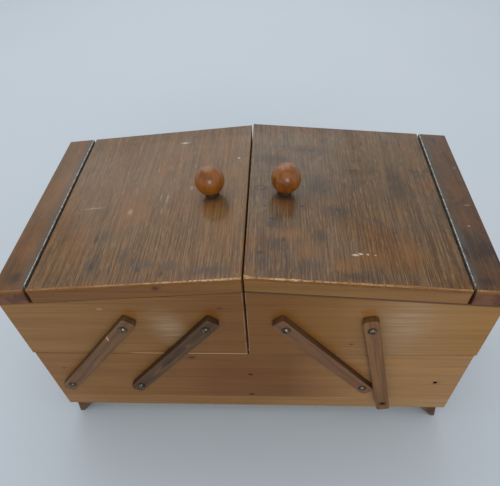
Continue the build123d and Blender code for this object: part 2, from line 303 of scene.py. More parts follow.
def veneer(finish, seed, stops, warm, grime, haze, shares):
    """Old open-grained veneer, its grain from front to back: long fine lines that are strongest towards
    the worn front, pore ticks, light flecks and stains.

    stops grade the ground from front to back, and shares are the strengths of the warm areas, the grime,
    the haze and the lines. Returns the pores, the dark lines and the haze."""
    warm_share, grime_share, haze_share, line_share = shares
    figure = finish.grain((15, 320, 15), seed)
    lines = finish.grain((1.25, 62, 1.25), seed + 3, roughness=0.65)
    broad = finish.grain((4.4, 70, 4.4), seed + 4, detail=4, roughness=0.65)
    ticks = finish.grain((1.2, 9, 1.2), seed + 5, detail=1)
    flecks = finish.grain((1.0, 13, 1.0), seed + 6, detail=1)
    soil = finish.grain((15, 24, 15), seed + 7, detail=6, roughness=0.72, distortion=0.6)
    patchy = finish.grain((42, 60, 42), seed + 11, detail=5, roughness=0.6)
    bloom = finish.grain((90, 110, 90), seed + 15, detail=3)
    worn = line_share * (0.6 + 0.4 * finish.y.step(20 * MM, -80 * MM))
    dark_lines = lines.step(0.46, 0.60)
    pores = ticks.step(0.58, 0.68)
    dirty = soil.step(0.52, 0.62)
    finish.colour = graded(finish, finish.y, half_depth, stops)
    finish.lay(warm, warm_share * patchy.step(0.42, 0.62))
    finish.dye((0.82, 0.78, 0.74), 0.5 * figure.step(0.45, 0.62))
    finish.lay(haze, haze_share * bloom.step(0.44, 0.68))
    finish.dye((0.76, 0.71, 0.66), worn * 0.3 * broad.step(0.48, 0.62))
    finish.dye((0.60, 0.54, 0.47), worn * 0.95 * dark_lines)
    finish.lay((164, 130, 88), worn * 0.22 * lines.step(0.46, 0.34))
    finish.lay((172, 150, 118), line_share * 0.22 * flecks.step(0.58, 0.70))
    finish.dye((0.48, 0.43, 0.40), worn * 0.45 * pores)
    finish.lay(grime, grime_share * dirty * (0.6 + 0.4 * dark_lines))
    return pores, dark_lines, bloom


def worn_edge(finish):
    """The veneer's frayed front arris and the panel's edge, where the plies show. The arris is palest
    beside the centre gap. Returns where the wood is bare."""
    fray = finish.attribute("fray")
    tear = finish.grain((2.6, 1.6, 2.2), 2.0, detail=4, roughness=0.7)
    patch = finish.grain((26, 26, 26), 4.0)
    pale = 0.35 + 0.65 * abs(finish.x).step(150 * MM, 40 * MM)
    bare = (fray + 0.9 * (tear - 0.5)).step(0.50, 0.68)
    crest = fray.step(0.66, 0.95) * fray.step(1.5, 1.05) * tear.step(0.34, 0.56)
    face = fray.step(1.1, 1.5)
    edge = finish.blend(
        tone(128, 86, 44), tone(205, 168, 128),
        crest * pale * (0.45 + 0.55 * patch.step(0.4, 0.6)))
    edge = finish.blend(edge, (0.62, 0.5, 0.4, 1.0), 0.7 * face * tear.step(0.4, 0.7), "MULTIPLY")
    plain, _, _ = pine(finish, 17.0, tone(170, 132, 90), "y", 0.8)
    finish.lay(finish.blend(edge, plain, fray.step(2.5, 2.9)), bare)
    return bare


def top_finish(name, seed, marks, **kinds):
    """Finish of one lid or strip: the veneer, its own marks and its worn edges, under old varnish that
    still mirrors the knob."""
    finish = Finish(name, specular_ior_level=0.15, coat_roughness=0.16)
    pores, dark_lines, bloom = veneer(finish, seed, **kinds)
    marks(finish)
    bare = worn_edge(finish)
    finish.bump((1 - pores) - 0.5 * dark_lines, 0.16, 0.4)
    return finish.feed(
        roughness=0.40 + 0.14 * bloom + 0.2 * bare, coat_weight=0.34 - 0.14 * bloom - 0.25 * bare)


def stains(finish, shade, share, vector, *ovals):
    """Lay one shade over a finish in ragged ovals: each is its place and its reaches in millimetres."""
    finish.lay(shade, share * finish.most(*[
        finish.oval(oval[:2], oval[2:], soft=0.95, vector=vector) for oval in ovals]))


def knob_shadow_and_reflection(finish, middle):
    """Painted shadow in front of a knob's foot, and a warmer patch before it: orange varnish where fingers
    polish the lid, with painted reflection of the knob added to the real one in the coat.
    """
    rough = finish.ragged(4, 3)
    # warm patch: unfaded varnish and painted reflection of the knob
    finish.lay((146, 86, 38), 0.35 * finish.oval((middle, -24), (17, 17), vector=rough))
    # painted shadow in front of the knob's foot
    finish.lay((66, 50, 42), 0.7 * finish.oval((middle, -12), (15, 9), vector=rough))


def left_lid_marks(finish):
    """Marks on the left lid, at millimetres across and back."""
    rough = finish.ragged(9, 13)
    fine = finish.ragged(3, 4)
    knob_shadow_and_reflection(finish, -35.4)
    stains(
        finish, (74, 62, 51), 0.62, rough,
        (-134, -58, 9, 17), (-135, -98, 11, 22), (-109, -88, 7, 16), (-88, -100, 18, 12),
        (-64, -104, 14, 11), (-30, -112, 34, 8))
    stains(
        finish, (54, 43, 36), 0.85, finish.ragged(5, 5),
        (-133, -84, 2.2, 20), (-127, -108, 2.0, 12), (-118, -104, 1.6, 14), (-99, -96, 1.5, 9),
        (-140, -62, 2.6, 7), (-136, -98, 3.4, 9), (-92, -106, 3, 7), (-70, -112, 3, 6))
    stains(
        finish, (134, 88, 44), 0.45, rough,
        (-158, -70, 20, 46), (-112, -20, 26, 34), (-20, -60, 16, 40))
    stains(finish, (208, 200, 188), 0.75, fine, (-76, 96, 7.5, 2.2), (-12.4, 56, 2.6, 2.2))
    stains(
        finish, (178, 160, 138), 0.42, fine,
        (-88, -4, 1.3, 10), (-81, -6, 1.2, 12), (-84, -26, 1.2, 9), (-116, -24, 4, 7),
        (-156, -14, 17, 2.0), (-58, 8, 3, 6))


def right_lid_marks(finish):
    """Marks on the right lid, at millimetres across and back."""
    rough = finish.ragged(9, 14)
    fine = finish.ragged(3, 3.5)
    knob_shadow_and_reflection(finish, 35.4)
    stains(
        finish, (62, 53, 46), 0.6, rough,
        (107, 38, 15, 9), (24, 52, 26, 14), (62, 74, 36, 12), (23, -52, 9, 10), (28, -80, 14, 14),
        (17, -102, 12, 14), (67, -67, 9, 14), (95, -114, 24, 8), (70, 10, 24, 30), (84, -30, 26, 16),
        (150, 20, 16, 50))
    stains(
        finish, (136, 90, 44), 0.5, rough,
        (56, -88, 24, 20), (40, -66, 22, 14), (112, -92, 30, 18), (146, -84, 24, 28), (84, -104, 20, 12))
    stains(
        finish, (44, 36, 32), 0.8, fine,
        (52.5, -25.5, 3.4, 2.4), (16.7, -27.5, 2.8, 2), (85.5, -27, 3, 2), (24, -46, 5, 3),
        (34, -74, 4, 5), (14, -92, 5, 4))
    stains(
        finish, (214, 208, 194), 0.85, fine,
        (96, -88.6, 5.0, 1.6), (101, -87, 3.0, 1.4), (107, -87, 1.8, 1.2), (113.3, -87.4, 1.6, 1))
    ring_place = (12.3, 0.7)
    ring = finish.oval(ring_place, (6.6, 4.6), soft=0.16) - finish.oval(ring_place, (5.4, 3.4), soft=0.2)
    finish.lay((54, 45, 40), 0.75 * ring)


def strip_marks(finish):
    """Grey dirt along the hinge on a fixed strip, three pale scratches and a dark stain at the front."""
    beside = abs(finish.x).step(hinge_edge + 10 * MM, hinge_edge + 2 * MM)
    dirt = finish.grain((5, 30, 5), 31.0, detail=3)
    finish.lay((88, 82, 74), 0.7 * beside * dirt.step(0.3, 0.6))
    stains(
        finish, (182, 156, 128), 0.6, finish.ragged(3, 3),
        (213, -8, 5, 1.2), (217, 56, 2.2, 1.4), (207, -40, 2.4, 1.4))
    stains(
        finish, (44, 34, 32), 0.65, finish.ragged(6, 6), (204, -112, 12, 6), (-204, -108, 10, 12))


def pine(finish, seed, ground, along="x", strength=1.0):
    """Softwood with its grain along x or y: soft bands, thin latewood lines and fibres, over a ground.
    Returns its colour, lines and fibres."""
    def laid(length, width, height):
        return (length, width, height) if along == "x" else (width, length, height)

    bands = finish.grain(laid(240, 14, 8), seed, detail=3, distortion=0.3)
    lines = finish.grain(laid(170, 5, 2.2), seed + 3, detail=4, roughness=0.62)
    fibres = finish.grain(laid(46, 1.2, 0.8), seed + 5, roughness=0.6)
    colour = ground
    for factors, share, mask in (
            ((0.82, 0.74, 0.64), 0.55, bands.step(0.40, 0.64)),
            ((0.66, 0.56, 0.44), 0.5, lines.step(0.50, 0.66)),
            ((1.22, 1.2, 1.16), 0.5, lines.step(0.46, 0.34)),
            ((0.74, 0.67, 0.58), 0.4, fibres.step(0.50, 0.66))):
        colour = finish.blend(colour, (*factors, 1.0), share * strength * mask, "MULTIPLY")
    return colour, lines, fibres


def board_finish(name, seed, stops, marks=None, along="x"):
    """Varnished pine outside and bare, paler pine inside."""
    finish = Finish(name, specular_ior_level=0.3, coat_roughness=0.22)
    ground = graded(finish, finish.x, tray_outer, stops)
    finish.colour, lines, fibres = pine(finish, seed, ground, along, 0.9)
    if marks:
        marks(finish)
    varnished = finish.colour
    skin = 4 * MM
    outside = finish.most(*[
        abs(place).step(reach - skin - 0.5 * MM, reach - skin)
        for place, reach in ((finish.y, half_depth), (finish.x, base_end))])
    finish.colour, _, _ = pine(finish, seed + 20, tone(196, 162, 116), along)
    finish.lay(varnished, outside)
    finish.bump(0.6 * lines + 0.4 * fibres, 0.1, 0.4)
    return finish.feed(roughness=0.62 - 0.2 * outside + 0.1 * lines, coat_weight=0.1 * outside)


def knot(finish, centre, reach, turn=0.0):
    """A small dark knot with a reddish halo on the front."""
    halo = finish.oval(centre, (2.2 * reach[0], 2.0 * reach[1]), turn, 0.8, "front")
    finish.dye((0.62, 0.42, 0.32), 0.6 * halo)
    finish.lay((74, 40, 22), 0.85 * finish.oval(centre, reach, turn, 0.5, "front"))


def fresh(finish, *places):
    """More orange varnish, where a link used to cover the board."""
    soft = finish.most(*[finish.oval(place, (11, 8), 0, 1.0, "front") for place in places])
    finish.dye((1.0, 0.74, 0.42), 0.55 * soft)


def painted_seam_line(finish, height, reach, shade, share):
    """A thin line of painted light or shade along x at a height, reaching some millimetres to each side."""
    finish.lay(shade, share * abs(finish.z - height).step(reach * MM, 0.3 * reach * MM))


def rail_seam_shadow(finish, side, share):
    """Painted shadow in the seam under a lid's front rail: a dark line along the tray board's sloping top.
    """
    _, fall = LID_LINES[side]
    low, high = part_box(f"{side}_tray_front_board")
    edge = high.z + fall * min(abs(low.x), abs(high.x))
    below = edge - fall * abs(finish.x) - finish.z
    # painted shadow of the gap under the rail
    finish.lay((66, 38, 18), share * below.step(1.9 * MM, 0.5 * MM))


def gap_arris(finish):
    """The pale worn arris of a tray beside the centre gap."""
    worn = finish.grain((20, 20, 14), 47.0, detail=3)
    near = abs(finish.x).step(2.1 * MM, 1.5 * MM)
    finish.lay((150, 112, 82), near * worn.step(0.3, 0.6))


def painted_sheen(finish, centre, reach, turn, seed, share):
    """Painted sheen: fine pale horizontal streaks inside a soft oval on the front, standing in for the
    varnish's reflection.
    """
    inside = finish.oval(centre, reach, turn, 1.0, "front")
    lines = finish.grain((50, 4, 1.3), seed)
    # the pale streaks are painted sheen
    finish.lay((176, 158, 132), share * inside * lines.step(0.36, 0.6))


def nail_spot(finish, centre):
    """A sunk nail: a dark oval with a rusty halo."""
    finish.dye((0.72, 0.50, 0.36), 0.6 * finish.oval(centre, (5.5, 4.0), 0, 0.9, "front"))
    finish.lay((28, 16, 12), 0.95 * finish.oval(centre, (3.2, 1.9), 0, 0.5, "front"))


def left_tray_marks(finish):
    """Marks on the left tray's front, at millimetres across and up."""
    fresh(finish, (-104, 193), (-29, 191))
    knot(finish, (-22.3, 198), (2.2, 1.2))
    knot(finish, (-78, 135.5), (2.6, 2.0))
    finish.lay((176, 146, 108), 0.6 * finish.oval((-131.4, 196.6), (4.2, 1.8), 0, 0.8, "front"))
    painted_sheen(finish, (-72, 166), (26, 44), 12, 51.0, 0.42)
    rail_seam_shadow(finish, "left", 0.12)
    gap_arris(finish)
    # painted highlight: a pale line where light catches the tray's lower arris
    highlight_span = finish.x.step(-124 * MM, -112 * MM)
    painted_seam_line(finish, tray_floor + 0.4 * MM, 1.5, (200, 162, 116), 0.85 * highlight_span)


def right_tray_marks(finish):
    """Marks on the right tray's front."""
    fresh(finish, (40, 191), (109, 193))
    knot(finish, (99.5, 145), (2.0, 1.1))
    painted_sheen(finish, (143, 176), (34, 48), -10, 53.0, 0.4)
    gap_arris(finish)
    rail_seam_shadow(finish, "right", 0.75)
    # painted shade in the seam between the tray and the base
    painted_seam_line(finish, tray_floor + 0.2 * MM, 0.8, (92, 60, 34), 0.7)


def left_rail_marks(finish):
    """The knot in the left lid's front rail."""
    knot(finish, (-74.6, 224), (3.4, 2.6))


def base_marks(finish):
    """Marks on the base's front."""
    finish.dye((1.0, 0.72, 0.4), 0.6 * finish.oval((108, 102), (13, 13), 0, 1.0, "front"))
    knot(finish, (-58, 120.4), (3.6, 2.8), 20)
    knot(finish, (-199.6, 98.7), (1.6, 1.2))
    nail_spot(finish, (0.6, 89))
    nail_spot(finish, (0.6, 47.5))
    # the empty screw hole, painted black as the shade inside it, and the ring that its link wore
    finish.lay((128, 84, 44), 0.6 * finish.oval((196.5, 76.5), (8, 6), 0, 0.9, "front"))
    finish.lay((16, 10, 8), finish.oval((195.5, 76.5), (2.5, 2.5), 0, 0.3, "front"))
    red = finish.grain((80, 20, 22), 44.0)
    reddened = red.step(0.4, 0.6) * finish.oval((-10, 90), (90, 40), 0, 1.0, "front")
    finish.dye((0.88, 0.68, 0.5), 0.6 * reddened)
    # painted shade in the seams above the rail and under the tray
    painted_seam_line(finish, rail_top, 1.0, (76, 46, 24), 0.7)
    painted_seam_line(finish, base_top, 0.8, (80, 50, 28), 0.35)


def batten_finish():
    """End grain of a reddish batten: faint rings about a far pith, and dark clouds."""
    finish = Finish("batten_end_grain", specular_ior_level=0.4)
    from_pith = finish.mapped("TEXTURE", Location=(0.0, 0.0, 0.09), Scale=(1.0, 1000.0, 1.0))
    radius = finish.vectors("LENGTH", {0: from_pith}, "Value")
    rings = finish.math("SINE", radius * (2 * math.pi / (2.1 * MM)) + 6 * finish.grain((10, 60, 10), 8.0))
    cloud = finish.grain((9, 9, 9), 12.0, detail=4)
    finish.colour = tone(112, 70, 42)
    finish.lay((84, 50, 30), cloud.step(0.35, 0.65))
    finish.dye((0.75, 0.68, 0.62), 0.3 * rings.step(-0.2, 0.9))
    finish.bump(rings * 0.3 + cloud, 0.12, 0.4)
    return finish.feed(roughness=0.46 + 0.2 * cloud)


def link_finish(name, angle, seed, light, dark, scar=None):
    """Brown hardwood with its grain along the link. Its sides and ends are darker than its broad faces.

    scar is the place of a pale scratch across the front link, in millimetres."""
    finish = Finish(name, specular_ior_level=0.35)
    along = finish.mapped("POINT", Rotation=(0.0, angle, 0.0))
    side = finish.attribute("side")
    streak = finish.grain((90, 5, 3.4), seed, detail=3, vector=along)
    fibre = finish.grain((20, 1.1, 1.0), seed + 2, vector=along)
    cloud = finish.grain((24, 24, 12), seed + 4, detail=3, vector=along)
    rubbed = side.step(0.1, 0.3) * side.step(0.75, 0.45)
    finish.colour = tone(*light)
    finish.lay(dark, streak.step(0.35, 0.66))
    finish.dye((0.66, 0.58, 0.50), 0.4 * fibre.step(0.52, 0.72))
    finish.lay((128, 92, 62), 0.5 * rubbed * cloud.step(0.46, 0.62))
    finish.dye((0.60, 0.53, 0.47), 0.65 * side.step(0.6, 1.0))
    # painted shade round the screw heads
    finish.dye((0.30, 0.24, 0.20), 0.8 * finish.attribute("soiled"))
    if scar:
        scratch = finish.oval(scar, (1.0, 4.2), 4, 0.5, "front") * finish.y.step(0, -1 * MM)
        finish.lay((204, 162, 118), 0.9 * scratch)
    finish.bump(streak + 0.6 * fibre, 0.1, 0.4)
    return finish.feed(roughness=0.46 + 0.2 * cloud)


def knob_finish():
    """Glossy orange-brown varnish on turned wood, speckled, with painted shade and duller varnish in the
    cove and about the foot, under the ball.
    """
    finish = Finish("knob_varnish", specular_ior_level=0.3, coat_roughness=0.08, coat_ior=1.5)
    figure = finish.grain((7, 7, 24), 3.0, detail=3)
    speck = finish.grain((1.3, 1.3, 2.4), 9.0)
    grimy = finish.attribute("grimy")
    finish.colour = tone(146, 86, 22)
    finish.lay((118, 62, 12), figure.step(0.35, 0.68))
    finish.lay((74, 38, 12), 0.6 * speck.step(0.54, 0.7))
    # painted shade on the foot and in the cove, under the ball
    finish.lay((40, 26, 19), 0.88 * grimy)
    finish.bump(finish.grain((40, 40, 1.2), 6.0), 0.04, 0.3)
    return finish.feed(roughness=0.30 + 0.1 * speck + 0.4 * grimy, coat_weight=0.45 - 0.4 * grimy)


def steel_finish(name, light, dark, roughness, rim=False):
    """Old bare metal, dulled and stained, and with a rim also painted shade low down."""
    finish = Finish(name)
    stain = finish.grain((3, 5, 3), 5.0, detail=4, roughness=0.65)
    finish.colour = tone(*light)
    finish.lay(dark, stain.step(0.42, 0.64))
    worn = 1.0 - 0.35 * stain.step(0.5, 0.7)
    if rim:
        low = finish.attribute("low")
        # painted shade low on the head and in its slot
        finish.lay((24, 20, 17), 0.95 * low)
        worn = worn * (1 - 0.8 * low)
    finish.bump(finish.grain((0.4, 2.6, 0.4), 7.0), 0.03, 0.5)
    return finish.feed(roughness=roughness + 0.25 * stain.step(0.4, 0.7), metallic=worn)


def hinge_finish():
    """Old steel piano hinge: grey with worn bright specks, and black low down towards the lid: painted
    shade of the gap beside the lid.
    """
    finish = Finish("hinge_steel")
    stain = finish.grain((3, 4, 3), 5.0, detail=4, roughness=0.65)
    speck = finish.grain((1.6, 2.4, 1.6), 7.0)
    bright = speck.step(0.50, 0.64)
    knuckle_foot = min(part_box(f"{side}_hinge_pin")[0].z for side in SIDES)
    # painted shade: the knuckle's lower side towards the lid, in the gap
    grime = abs(finish.x).step(hinge_edge - 1.5 * MM, hinge_edge - 2.1 * MM)
    grime = grime * finish.z.step(knuckle_foot - 1.5 * MM, knuckle_foot)
    finish.colour = tone(178, 173, 162)
    finish.lay((112, 106, 96), stain.step(0.42, 0.62))
    finish.lay((214, 212, 206), 0.8 * bright)
    finish.lay((14, 12, 10), 0.95 * grime)
    finish.bump(speck, 0.05, 0.5)
    return finish.feed(roughness=0.42 - 0.14 * bright + 0.4 * grime, metallic=0.45 - 0.4 * grime)


def bare_wood(name, seed, ground, along):
    """Unvarnished wood inside the box."""
    finish = Finish(name, specular_ior_level=0.3)
    finish.colour, lines, fibres = pine(finish, seed, tone(*ground), along)
    dust = finish.grain((30, 30, 30), seed + 9, detail=4)
    finish.lay((150, 132, 106), 0.3 * dust.step(0.45, 0.7))
    finish.bump(0.6 * lines + 0.4 * fibres, 0.12, 0.5)
    return finish.feed(roughness=0.62 + 0.15 * dust)


# ---- making meshes ----
def stand(name, data):
    """A new object in the scene."""
    holder = bpy.data.objects.new(name, data)
    bpy.context.scene.collection.objects.link(holder)
    return holder


def make_piece(name, points, faces, smooth=40, **values):
    """A mesh object from an array of points and a list of faces, turned to face outwards.

    Each further value is an array with one number for each point, and becomes an attribute."""
    mesh = bpy.data.meshes.new(name)
    mesh.from_pydata(points.reshape(-1, 3).tolist(), [], faces)
    for attribute, value in values.items():
        layer = mesh.attributes.new(attribute, "FLOAT", "POINT")
        layer.data.foreach_set("value", np.asarray(value, np.float32).reshape(-1))
    build = bmesh.new()
    build.from_mesh(mesh)
    bmesh.ops.remove_doubles(build, verts=build.verts, dist=1e-6)
    bmesh.ops.recalc_face_normals(build, faces=build.faces)
    build.to_mesh(mesh)
    build.free()
    mesh.shade_smooth()
    mesh.set_sharp_from_angle(angle=math.radians(smooth))
    return stand(name, mesh)


def tube_faces(rows, columns, first=0):
    """Quads of a grid whose columns close on themselves, with its first and last rows capped."""
    place = np.arange(rows * columns).reshape(rows, columns) + first
    after = np.roll(place, -1, axis=1)
    quads = np.stack([place[:-1], after[:-1], after[1:], place[1:]], axis=-1).reshape(-1, 4)
    return quads.tolist() + [place[0, ::-1].tolist(), place[-1].tolist()]


def turned_points(profile, origin, axis, count):
    """A profile of (radius, height) turned about an axis: origin + h axis + r (u cos t + v sin t)."""
    axis = np.array(axis) / np.linalg.norm(axis)
    u = np.cross(axis, (0.0, 1.0, 0.0))
    u /= np.linalg.norm(u)
    v = np.cross(axis, u)
    t = np.linspace(0, 2 * math.pi, count, endpoint=False)
    ring = np.cos(t)[:, None] * u + np.sin(t)[:, None] * v
    profile = np.array(profile, float)
    return np.array(origin) + profile[:, 1, None, None] * axis + profile[:, 0, None, None] * ring


def arc(centre, radii, start, end, count):
    """Points of an elliptical arc, angles in degrees."""
    t = np.radians(np.linspace(start, end, count))
    return np.stack([centre[0] + radii[0] * np.cos(t), centre[1] + radii[1] * np.sin(t)], axis=-1)


def wander(x, size, seed):
    """A smooth irregular line through seeded random heights from -1 to 1, one for each size."""
    count = 2000
    heights = np.random.default_rng(seed).uniform(-1, 1, count)
    place = x / size + count // 2
    step = np.floor(place).astype(int)
    share = place - step
    share = share * share * (3 - 2 * share)
    return heights[step] * (1 - share) + heights[step + 1] * share


def worn_panel(side, kind, front_wear, fringe, chip, seed):
    """A veneered plywood panel on the slope of the lids, worn along its front.

    Its section in y and z is a rectangle. The upper front corner is a quarter ellipse of width w(x) and
    height h(x): y = front + w (1 - cos a), z = top - h (1 - sin a). w follows the wear, an irregular line
    along x. The other corners are small, and the section is carried along x, its top dropped by a quarter
    circle at both ends. The attribute fray is 0 on the veneer, 1 on the worn arris, 2 on the edge below
    it and 3 underneath."""
    node = f"{side}_{kind}_panel"
    low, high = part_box(node)
    inner, outer = sorted((abs(low.x), abs(high.x)))
    front, back = low.y, high.y
    back_edge = 0.7 * MM
    end_round = 0.6 * MM
    margin = 2.2 * MM
    ends = np.concatenate([np.linspace(0, 1, 5) ** 2 * MM, [1.6 * MM]])
    middle = np.linspace(inner + margin, outer - margin, int((outer - inner) / MM))
    x = np.concatenate([inner + ends, middle, (outer - ends)[::-1]])
    ridge, fall = LID_LINES[side]
    top = ridge - fall * x
    wear = front_wear * (1 + 0.30 * wander(x, 9 * MM, seed) + 0.35 * wander(x, 1.8 * MM, seed + 1))
    wear = np.clip(wear, 0.35 * MM, None) + chip * np.exp(-((x - inner) / chip_reach) ** 2)
    height = np.minimum(0.75 * wear, 2.4 * MM)
    reach = wear + fringe * (1 + 0.5 * wander(x, 14 * MM, seed + 2) + 0.4 * wander(x, 2.4 * MM, seed + 3))
    under = top - panel_thickness
    low_corner = under + sawn_arris
    angles = np.radians(np.linspace(0, 90, 6))

    def corner(edge, inset, height, mark, turns):
        return [(edge + inset * (1 - math.cos(a)), top - height * (1 - math.sin(a)), mark) for a in turns]

    section = [
        (front + sawn_arris, under, 3.0), (front, low_corner, 2.0), (front, top - height - sawn_arris, 1.6),
        *corner(front, wear, height, 1.0, angles), (front + reach, top, 0.0),
        *[(front + share * (back - front), top, 0.0) for share in (0.1, 0.5, 0.9)],
        *corner(back, -back_edge, back_edge, 0.4, angles[::-1]),
        (back, low_corner, 2.0), (back - sawn_arris, under, 3.0)]
    y, z, fray = [
        np.stack([np.broadcast_to(point[part], x.shape) for point in section], axis=1) for part in range(3)]
    radius = end_round * (1 + 0.4 * wander(y, 6 * MM, seed + 4))
    near = np.clip(radius - np.minimum(x - inner, outer - x)[:, None], 0, radius)
    drop = radius - np.sqrt(np.maximum(radius**2 - near**2, 0))
    upper = z > (top - 0.5 * panel_thickness)[:, None]
    points = np.stack([np.broadcast_to(SIDES[side] * x[:, None], y.shape), y, z - drop * upper], axis=-1)
    fray = np.maximum(fray, np.minimum(drop / (0.2 * MM), 0.8))
    return make_piece(f"{node}_worn", points, tube_faces(*y.shape), 35, fray=fray)


def make_knob(side):
    """A knob turned square to the lid: foot, hollow cove and ball.

    Cove: a quarter ellipse from the foot to the neck. Ball: r = R sin a about a centre on the axis. The
    attribute of painted shade under the ball is 1 on the foot and in the cove, and fades out on the ball."""
    low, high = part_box(f"{side}_knob")
    tilt = math.atan(LID_LINES[side][1])
    axis = np.array((SIDES[side] * math.sin(tilt), 0.0, math.cos(tilt)))
    arris = 0.3 * MM
    cove_top = knob_foot_height + knob_cove_height
    centre_height = cove_top + math.sqrt(knob_radius**2 - knob_neck_radius**2)
    centre = np.array(((low.x + high.x) / 2, (low.y + high.y) / 2, high.z - knob_radius))
    foot = [(arris, 0.0), (knob_foot_radius - arris, 0.0), (knob_foot_radius, arris)]
    cove = arc(
        (knob_foot_radius, cove_top), (knob_foot_radius - knob_neck_radius, knob_cove_height), 270, 180, 8)
    start = math.degrees(math.asin(knob_neck_radius / knob_radius))
    ball = arc((0.0, centre_height), (knob_radius, knob_radius), start - 90, 90 - 0.8, 56)
    profile = np.concatenate([foot, cove, ball[1:]])
    points = turned_points(profile, centre - centre_height * axis, axis, 96)
    grimy = np.clip(1 - (profile[:, 1] - cove_top) / (3.5 * MM), 0, 1)
    grimy = np.broadcast_to(grimy[:, None], points.shape[:2])
    return make_piece(f"{side}_turned_knob", points, tube_faces(*points.shape[:2]), 50, grimy=grimy)


def screw_shape(turn):
    """A slotted round head in a frame with the third axis outwards, and a mask of painted shade: 1 where
    the head is low and in its slot.

    The head is cut into slices across its slot. A slice at x has the chord |y| < sqrt(R^2 - x^2), and its
    top is the ball's cap, h - (B - sqrt(B^2 - r^2)). The slices on the slot's walls are doubled, and
    between them the top is no higher than the slot's floor."""
    radius, height = screw_head_radius, screw_head_height
    ball = (radius**2 + height**2) / (2 * height)
    half_slot = 0.45 * MM
    slot_floor = 1.0 * MM
    rim = 0.015 * MM
    outer = radius * np.sin(np.radians(np.linspace(88, 9, 10)))
    slot = slice(len(outer) + 1, len(outer) + 4)
    x = np.concatenate([-outer, [-half_slot, -half_slot, 0, half_slot, half_slot], outer[::-1]])
    y = np.sqrt(radius**2 - x**2)[:, None] * np.sin(np.radians(np.linspace(-90, 90, 17)))
    top = height - (ball - np.sqrt(ball**2 - np.minimum(x[:, None] ** 2 + y**2, ball**2)))
    top[slot] = np.minimum(top[slot], slot_floor)
    loop_x = np.broadcast_to(x[:, None], (len(x), 2 * y.shape[1]))
    loop_y = np.concatenate([y, y[:, ::-1]], axis=1)
    loop_z = np.concatenate([top.clip(0) + rim, np.zeros_like(y)], axis=1)
    c, s = math.cos(turn), math.sin(turn)
    head = np.stack([c * loop_x - s * loop_y, s * loop_x + c * loop_y, loop_z], axis=-1)
    low = np.clip(1 - loop_z / (1.1 * MM), 0, 1)
    # the slot's floor is painted shade too
    low[slot] = 1.0
    return head, low


def set_screws(name, places, shank_length):
    """Round-head screws of one body as one mesh. A place is (x, z, out, lift of the head, slot turn)."""
    shank = turned_points(
        [(screw_shank_radius, -shank_length), (screw_shank_radius, 0.4 * MM)], (0, 0, 0), (0, 0, 1), 20)
    points, faces, lows = [], [], []
    count = 0
    for x, z, out, lift, turn in places:
        for part, low in (screw_shape(turn), (shank, np.ones(shank.shape[:2]))):
            world = np.stack(
                [x + part[..., 0], out * (half_depth + lift + part[..., 2]), z + part[..., 1]], axis=-1)
            points.append(world.reshape(-1, 3))
            lows.append(low.reshape(-1))
            faces += tube_faces(*part.shape[:2], count)
            count += low.size
    return make_piece(name, np.concatenate(points), faces, low=np.concatenate(lows))


def link_outline(half_length, corner_radius):
    """Half of a link's outline about one pivot, as points (x, y), and their inward normals.

    It runs from the far end over the upper corner to the link's middle, across it, and back below. The
    points across the middle have no normal. x runs towards the other pivot."""
    side = link_width / 2
    centre = np.array((corner_radius - link_overhang, side - corner_radius))
    corner = arc(centre, (corner_radius, corner_radius), 180, 90, 9)
    straight = np.linspace(centre[0], half_length, 52)[1:]
    upper = np.stack([straight, np.full_like(straight, side)], axis=-1)
    across = np.linspace(side - link_rub_limit, 0, 4)
    middle = np.stack([np.full_like(across, half_length), across], axis=-1)
    ring = np.concatenate([corner, upper, middle])
    normals = np.concatenate([
        (centre - corner) / corner_radius, np.tile((0.0, -1.0), (len(upper), 1)), np.zeros_like(middle)])
    mirror = np.array((1, -1))
    return [np.concatenate([half, half[-2::-1] * mirror]) for half in (ring, normals)]


